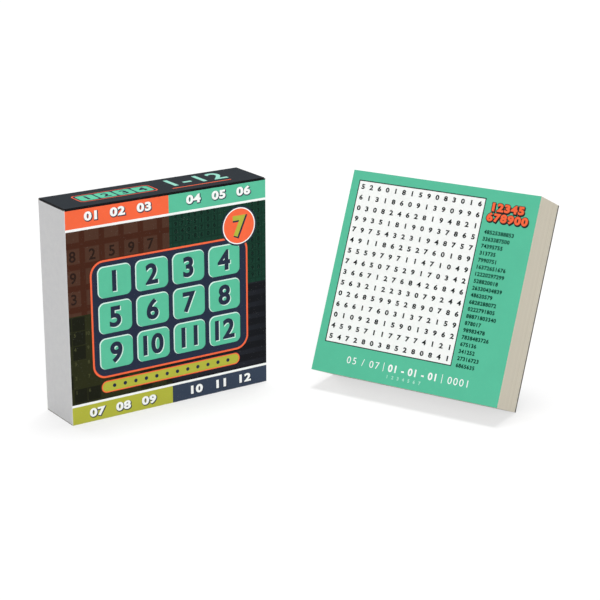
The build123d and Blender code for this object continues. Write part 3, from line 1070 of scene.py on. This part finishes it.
def day_line(printer, day):
    """The date of a day of January as plain numbers, with two bars between them."""
    weekday = (day + FIRST_WEEKDAY - 2) % WEEK + 1
    for text, x, tall, weight, gap in ((f"{weekday:02d} / {WEEK:02d}", -30.0, 4.4, 0.0, 1.3),
                                       (f"01 - 01 - {day:02d}", 4.9, 4.4, 0.045, 1.14),
                                       (f"{day:04d}", 36.6, 4.5, 0.0, 1.25)):
        printer.number(text, x, DATE_Y, tall, page_white, 1, weight, gap)
    for x in BARS_X:
        printer.slab(BAR_THICK, BAR_TALL, 0.1, x, DATE_Y, page_white, 1)
    printer.number(FIGURES, FIGURES_X, FIGURES_Y, FIGURES_TALL, leaf_inks["mist"], 1,
                   weight=0.05, gap=1.55)


print("the first day is day", FIRST_WEEKDAY, "of its week")

# %% [markdown]
# The day in front is a page of digits to search, beside a list of the numbers to find, under
# a heading in heavy orange figures with a dark edge. Each digit could be a text object; as
# marks of one Print the whole page stays a single piece. The digits are drawn by lot, from a
# seed.

# %% The day in front: digits to search
GRID, GRID_TALL = 15, 2.9
LIST_LINES, LIST_X, LIST_Y, LIST_TALL, LIST_PITCH = 20, 33.0, 104.4, 2.3, 4.41
HEADING, HEADING_TALL = (("12345", 45.7, 120.3), ("678900", 46.4, 113.9)), 4.55
HEADING_LAYERS = ((0.5, -0.7, 0.17, "dark"), (0, 0, 0.17, "dark"), (0, 0, 0.09, "orange"))
dice = random.Random(7)
marks = page("leaf_day_one", "leaf_day_1", "leaf_1", "leaf_teal", "teal")
step_x, step_y = (PANEL_RIGHT - PANEL_LEFT) / GRID, (PANEL_HIGH - PANEL_LOW) / GRID
for row in range(GRID):
    for column in range(GRID):
        x, y = PANEL_LEFT + (column + 0.5) * step_x, PANEL_HIGH - (row + 0.5) * step_y
        marks.number(str(dice.randrange(10)), x, y, GRID_TALL, page_dark, 1,
                     weight=0.065, stretch=1.2)
for layer, (dx, dy, weight, ink) in enumerate(HEADING_LAYERS, start=1):
    for text, x, y in HEADING:
        marks.number(text, x + dx, y + dy, HEADING_TALL, leaf_inks[ink], layer, weight,
                     gap=1.2, stretch=1.2)
for line in range(LIST_LINES):
    text = "".join(str(dice.randrange(10)) for _ in range(dice.randrange(6, 12)))
    shape = numerals(text, weight=0.06, gap=1.12)
    x, y = LIST_X + np.ptp(shape[0][:, 0]) * LIST_TALL / 2, LIST_Y - line * LIST_PITCH
    marks.mark(shape, x, y, LIST_TALL, leaf_inks["green"], 1)
day_line(marks, 1)
marks.lay()

# %% [markdown]
# The next leaves show when the one in front is torn off or folded up, so they are printed
# too. The second is orange, with scrambled number tiles and a ruled line beside each row for
# the answer.

# %% The second day: number tiles
PUZZLE_X, TILES_MIDDLE, TILE_STEP, ROW_STEP = -16.2, 72, 15.5, 19
TILE, TILE_CORNERS, TILE_RIM, TILE_DIGIT = 12.6, (2.2, 2), 0.3, 6.5
ANSWER_X, ANSWER_LONG, ANSWER_THICK, ANSWER_DOWN = 46, 22, 0.5, 5
marks = page("leaf_day_two", "leaf_day_2", "leaf_2", "leaf_orange", "orange")
for row in range(5):
    y, tiles = TILES_MIDDLE + (2 - row) * ROW_STEP, 4 + row % 2
    for column in range(tiles):
        x = PUZZLE_X + (column - (tiles - 1) / 2) * TILE_STEP
        marks.framed(TILE, TILE, TILE_CORNERS, TILE_RIM, x, y, (page_dark, page_white), 1)
        marks.number(str(dice.randrange(10)), x, y, TILE_DIGIT, page_dark, 3)
    marks.slab(ANSWER_LONG, ANSWER_THICK, 0.2, ANSWER_X, y - ANSWER_DOWN, page_dark, 1)
day_line(marks, 2)
marks.lay()

# %% [markdown]
# The third leaf is lime, with a grid of black and white cells. Which cells are black follows
# from a little sum of row and column, and some of the others carry a small running number.

# %% The third day: black and white cells
ROWS, COLUMNS, CELL, BLACK, CELLS_MIDDLE, HAIRLINE = 13, 11, 7.6, 7.2, 72.2, 0.25
COUNTED, COUNT_LEFT, COUNT_UP, COUNT_TALL = 0.3, 1.6, 1.9, 1.7
CLUES, CLUE_X, CLUE_LONG, CLUE_THICK, CLUE_PITCH, LINES_TOP = 12, 45.5, (14, 26), 0.9, 7.4, 116
marks = page("leaf_day_three", "leaf_day_3", "leaf_3", "leaf_lime", "lime")
count = 0
for row in range(ROWS):
    for column in range(COLUMNS):
        x, y = PUZZLE_X + (column - COLUMNS // 2) * CELL, CELLS_MIDDLE + (ROWS // 2 - row) * CELL
        if (row * 5 + column * 3 + (row % 3) * (column % 2)) % 7 == 0:
            marks.slab(BLACK, BLACK, 0.2, x, y, page_dark, 1)
        elif dice.random() < COUNTED:
            count += 1
            marks.number(str(count), x - COUNT_LEFT, y + COUNT_UP, COUNT_TALL, page_dark, 1,
                         weight=0.02)
for line in range(COLUMNS + 1):
    x = PUZZLE_X + (line - COLUMNS / 2) * CELL
    marks.slab(HAIRLINE, ROWS * CELL, 0.1, x, CELLS_MIDDLE, page_dark, 1)
for line in range(ROWS + 1):
    y = CELLS_MIDDLE + (line - ROWS / 2) * CELL
    marks.slab(COLUMNS * CELL, HAIRLINE, 0.1, PUZZLE_X, y, page_dark, 1)
for line in range(CLUES):
    y = LINES_TOP - line * CLUE_PITCH
    marks.slab(dice.uniform(*CLUE_LONG), CLUE_THICK, 0.3, CLUE_X, y, page_dark, 1)
day_line(marks, 3)
marks.lay()

# %% [markdown]
# Behind the three loose leaves the block begins. Its first page is navy with ruled lines. It
# takes the room of one leaf at the front of the January block, which was kept back for it.

# %% The first page of the block
LINES, LINE_LONG, LINE_THICK, LINE_PITCH = 14, (50, 78), 1.1, 6.9
marks = page("january_first_page", "leaves_january", "pad", "leaf_paper", "navy", in_block=True)
for line in range(LINES):
    y = LINES_TOP - line * LINE_PITCH
    marks.slab(dice.uniform(*LINE_LONG), LINE_THICK, 0.4, PUZZLE_X, y, page_dark, 1)
day_line(marks, 4)
marks.lay()

# %% [markdown]
# Padding glue is brushed along the top of the block. It dries to a thin milky skin, a
# little uneven, and lets single leaves be torn off. Bump in the finish would leave its
# outline straight, so it is a sheet whose face noise pushes up and down, and which thins out
# towards its rim.

# %% The glue along the top
BRUSHED = (60.0, 420.0, 60.0)
GLUE_COLUMNS, GLUE_ROWS, GLUE_RIM, GLUE_BELOW = 90, 20, 1.2 * MM, 0.01 * MM
GLUE_THIN, GLUE_THICK, GLUE_WAVE = 0.03 * MM, 0.2 * MM, 0.1 * MM


def glue_recipe(tree, where):
    streaks = cloud(tree, vectors(tree, "MULTIPLY", where, BRUSHED), scale=1.0, detail=4.0)
    colour = mixed(tree, streaks, shade(206, 203, 192), shade(232, 230, 222))
    return colour, drifting(tree, streaks, 0.28, 0.5), streaks


glue_frame = sheet_frame(foot, pad_across, -pad_out)
low, high = extent("binding_glue", glue_frame)
across, up = (np.linspace(start, end, count + 1).tolist() for start, end, count in (
    (low.x, high.x, GLUE_COLUMNS), (low.y, high.y, GLUE_ROWS)))
mesh = cut_sheet(across, up, [low.z - GLUE_BELOW, high.z], lambda x, y: FIRST_INK)
for v in mesh.vertices:
    if v.co.z > (low.z + high.z) / 2:
        rim = min(v.co.x - low.x, high.x - v.co.x, v.co.y - low.y, high.y - v.co.y)
        full = min(1.0, rim / GLUE_RIM) ** 0.5
        wave = noise.noise(Vector((v.co.x * BRUSHED[0], v.co.y * BRUSHED[1], 0.0)))
        v.co.z = low.z + GLUE_THIN + full * (GLUE_THICK + GLUE_WAVE * wave)
dried_glue = make_finish("dried_glue", shine=0.45, raised=0.05, recipe=glue_recipe)
make_piece("glue_skin", mesh, [dried_glue] * 3, glue_frame, "pad", "binding_glue", ["binding_glue"])

# %% [markdown]
# The stiff board behind the leaves is grey chipboard, made of recycled pulp with flecks in
# it. The easel is the same kind of card, thinner, in a paler grey. Flecks are short bits of
# fibre, so a stretched noise with a sharp threshold is enough.

# %% Chipboard
def chip_finish(name, ground, fleck):
    def recipe(tree, where):
        fibre = placed(tree, paper_fibre, vector=where, size=0.9)
        lengthwise = vectors(tree, "MULTIPLY", where, (1.0, 0.4, 1.0))
        bits = cloud(tree, lengthwise, scale=900.0, detail=2.0)
        flecks = spread(tree, bits, 0.62, 0.68, 0.0, 0.55)
        pulp = toned(tree, ground, drifting(tree, fibre["Tone"], 0.9, 1.1))
        roughness = drifting(tree, fibre["Tone"], 0.76, 0.92)
        return mixed(tree, flecks, pulp, fleck), roughness, fibre["Height"]
    return make_finish(name, shine=0.2, raised=0.04, recipe=recipe)


grey_chip = chip_finish("grey_chip", (0.21, 0.205, 0.19), shade(78, 72, 64))
dark_chip = chip_finish("dark_chip", (0.085, 0.08, 0.07), shade(48, 44, 38))
easel_chip = chip_finish("easel_chip", (0.36, 0.345, 0.31), shade(110, 102, 90))
easel_cut = chip_finish("easel_cut", (0.25, 0.235, 0.205), shade(84, 78, 68))
print("chipboard", grey_chip.name, dark_chip.name, easel_chip.name, easel_cut.name)

# %% [markdown]
# The backing board and the easel are plain die cut shapes, so they are copied from the CAD
# model like the carton's flaps, with softer edges, because thick card is crushed when it is
# cut. The easel's flap stands off the board, and its outside is turned by that angle.

# %% Backing board and easel
BACKING_EASE, EASEL_EASE, EASEL_OPEN = 0.2 * MM, 0.15 * MM, math.radians(42)
leg_back = -pad_out * math.cos(EASEL_OPEN) + pad_up * math.sin(EASEL_OPEN)
dressed("backing", "backing_board", "pad", -pad_out, [grey_chip, grey_chip, dark_chip],
        "grey_board", BACKING_EASE)
for name, node_name, body, outward in (("easel_plate", "easel_hinge_plate", "pad", -pad_out),
                                       ("easel_flap", "easel_leg", "leg", leg_back),
                                       ("easel_strut", "easel_brace", "brace", pad_up)):
    dressed(name, node_name, body, outward, [easel_chip, easel_chip, easel_cut],
            "easel_board", EASEL_EASE)

# %% [markdown]
# The flap hangs from the plate by a strip of paper tape pasted over the crease. It has to
# bend when the easel folds, so it is a flat cut sheet whose points are then moved: they
# follow the plate before the crease and the flap after it, and turn between them.

# %% Tape over the easel's crease
TAPE_WIDE, TAPE_REACH, TAPE_THICK, TAPE_LIFT = 43 * MM, 8 * MM, 0.09 * MM, 0.02 * MM
TAPE_STEPS, TAPE_BEND, BLEND_REACH = 24, 2.4 * MM, 0.8 * MM
crease = Vector(joints["easel_leg_fold"]["pos_m"])
leg_down = -pad_up * math.cos(EASEL_OPEN) - pad_out * math.sin(EASEL_OPEN)
down = [(k / TAPE_STEPS * 2 - 1) * TAPE_REACH for k in range(TAPE_STEPS + 1)]
mesh = cut_sheet([-TAPE_WIDE / 2, TAPE_WIDE / 2], down, [TAPE_LIFT, TAPE_LIFT + TAPE_THICK],
                 lambda x, y: FIRST_INK)
for v in mesh.vertices:
    across, s, lift = v.co
    turn = min(1.0, max(0.0, s / TAPE_BEND + 0.5))
    outward = (-pad_out).lerp(leg_back, turn).normalized()
    along = leg_down * s if s >= 0 else pad_up * -s
    v.co = crease + along + outward * lift + pad_across * across
tape_paper = board_finish("tape_paper", shade(214, 206, 188), shade(190, 180, 160), 0.4, rough=0.7)
for _ in (REAR, EDGE, FIRST_INK):
    mesh.materials.append(tape_paper)
tape = add_object("easel_tape", mesh)
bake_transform(tape)
print(tape.name, "has", len(mesh.polygons), "faces")

# %% [markdown]
# The set stands on a plain floor that reads as white. White paint would do, but it throws so
# much light about that the shadow fills up. A matt grey takes the shadow better, and for the
# camera and for reflections a plain glow is added to it, so that the open floor comes out
# white and only the shaded parts stay darker.

# %% The floor
FLOOR_HALF, FLOOR_DOWN, FLOOR_GREY, FLOOR_GLOW = 8.0, 0.02 * MM, 0.34, 0.64
mesh = new_mesh("floor", [(-sx * FLOOR_HALF, -sy * FLOOR_HALF, -FLOOR_DOWN) for sx, sy in CORNERS],
                [(0, 1, 2, 3)])
floor = add_object("floor", mesh)
floor_white = bpy.data.materials.new("floor_white")
floor_white.use_nodes = True
tree = floor_white.node_tree
matt = tree.nodes["Principled BSDF"]
matt.inputs["Base Color"].default_value = (FLOOR_GREY, FLOOR_GREY, FLOOR_GREY, 1.0)
matt.inputs["Roughness"].default_value = 0.9
matt.inputs["Specular IOR Level"].default_value = 0.0
ray = node(tree, "ShaderNodeLightPath").outputs
seen = maths(tree, "ADD", maths(tree, "ADD", ray["Is Camera Ray"], ray["Is Glossy Ray"]),
             ray["Is Transmission Ray"], clamp=True)
glow = wire(tree, "ShaderNodeEmission", {"Strength": maths(tree, "MULTIPLY", seen, FLOOR_GLOW)})
both = wire(tree, "ShaderNodeAddShader", {0: matt.outputs["BSDF"], 1: glow})
feed(tree, tree.nodes["Material Output"].inputs["Surface"], both)
mesh.materials.append(floor_white)
print("floor", 2 * FLOOR_HALF, "m wide")

# %% [markdown]
# The light is a plain studio: a pale surround and three soft lamps. The one overhead leans
# back a little, so that the pad's shadow falls before it. A low one at the front lights the
# print, from a little right of the camera, which leaves the carton's left wall in half shade.
# A weaker one behind does the same for the back. Area lamps would fade with distance; sun
# lamps light the whole floor evenly, and their spread softens the shadows.

# %% Surround and lamps
SURROUND, LAMPS_AIM = 0.35, Vector((0.07, -0.04, 0.06))
world = bpy.data.worlds.new("studio")
scene.world = world
world.use_nodes = True
world.node_tree.nodes["Background"].inputs["Color"].default_value = (1.0, 1.0, 1.0, 1.0)
world.node_tree.nodes["Background"].inputs["Strength"].default_value = SURROUND


def toward(azimuth, elevation):
    """The way to a place, by degrees to the right of the front and degrees up."""
    a, e = math.radians(azimuth), math.radians(elevation)
    return Vector((math.sin(a) * math.cos(e), -math.cos(a) * math.cos(e), math.sin(e)))


def aimed(name, data, location, back):
    """A lamp or a camera that looks along its back turned round."""
    made = add_object(name, data)
    made.location = location
    made.rotation_mode = "QUATERNION"
    made.rotation_quaternion = (-back).to_track_quat("-Z", "Y")
    return made


for name, azimuth, elevation, softness, strength in (
        ("overhead", 126, 79, 20, 2.0), ("front", -19, 14, 40, 2.2), ("behind", 190, 14, 25, 1.2)):
    sun = bpy.data.lights.new(name, "SUN")
    sun.energy, sun.angle = strength, math.radians(softness)
    back = toward(azimuth, elevation)
    aimed(name, sun, LAMPS_AIM + back, back)

# %% [markdown]
# The camera stands where the photo was taken from, found by fitting the corners of the carton
# and of the pad: above and to the left, with a long lens that keeps the edges nearly parallel.

# %% The camera
CAMERA_AT, AZIMUTH, ELEVATION = Vector((-0.52584, -0.93247, 0.40251)), -34.187, 17.656
LENS, SENSOR = 107.907, 36.0
eye = bpy.data.cameras.new("camera")
eye.lens, eye.sensor_width = LENS, SENSOR
scene.camera = aimed("camera", eye, CAMERA_AT, toward(AZIMUTH, ELEVATION))
print("camera", [round(c, 3) for c in CAMERA_AT], "lens", LENS)

# %% The end
bpy.context.view_layer.update()
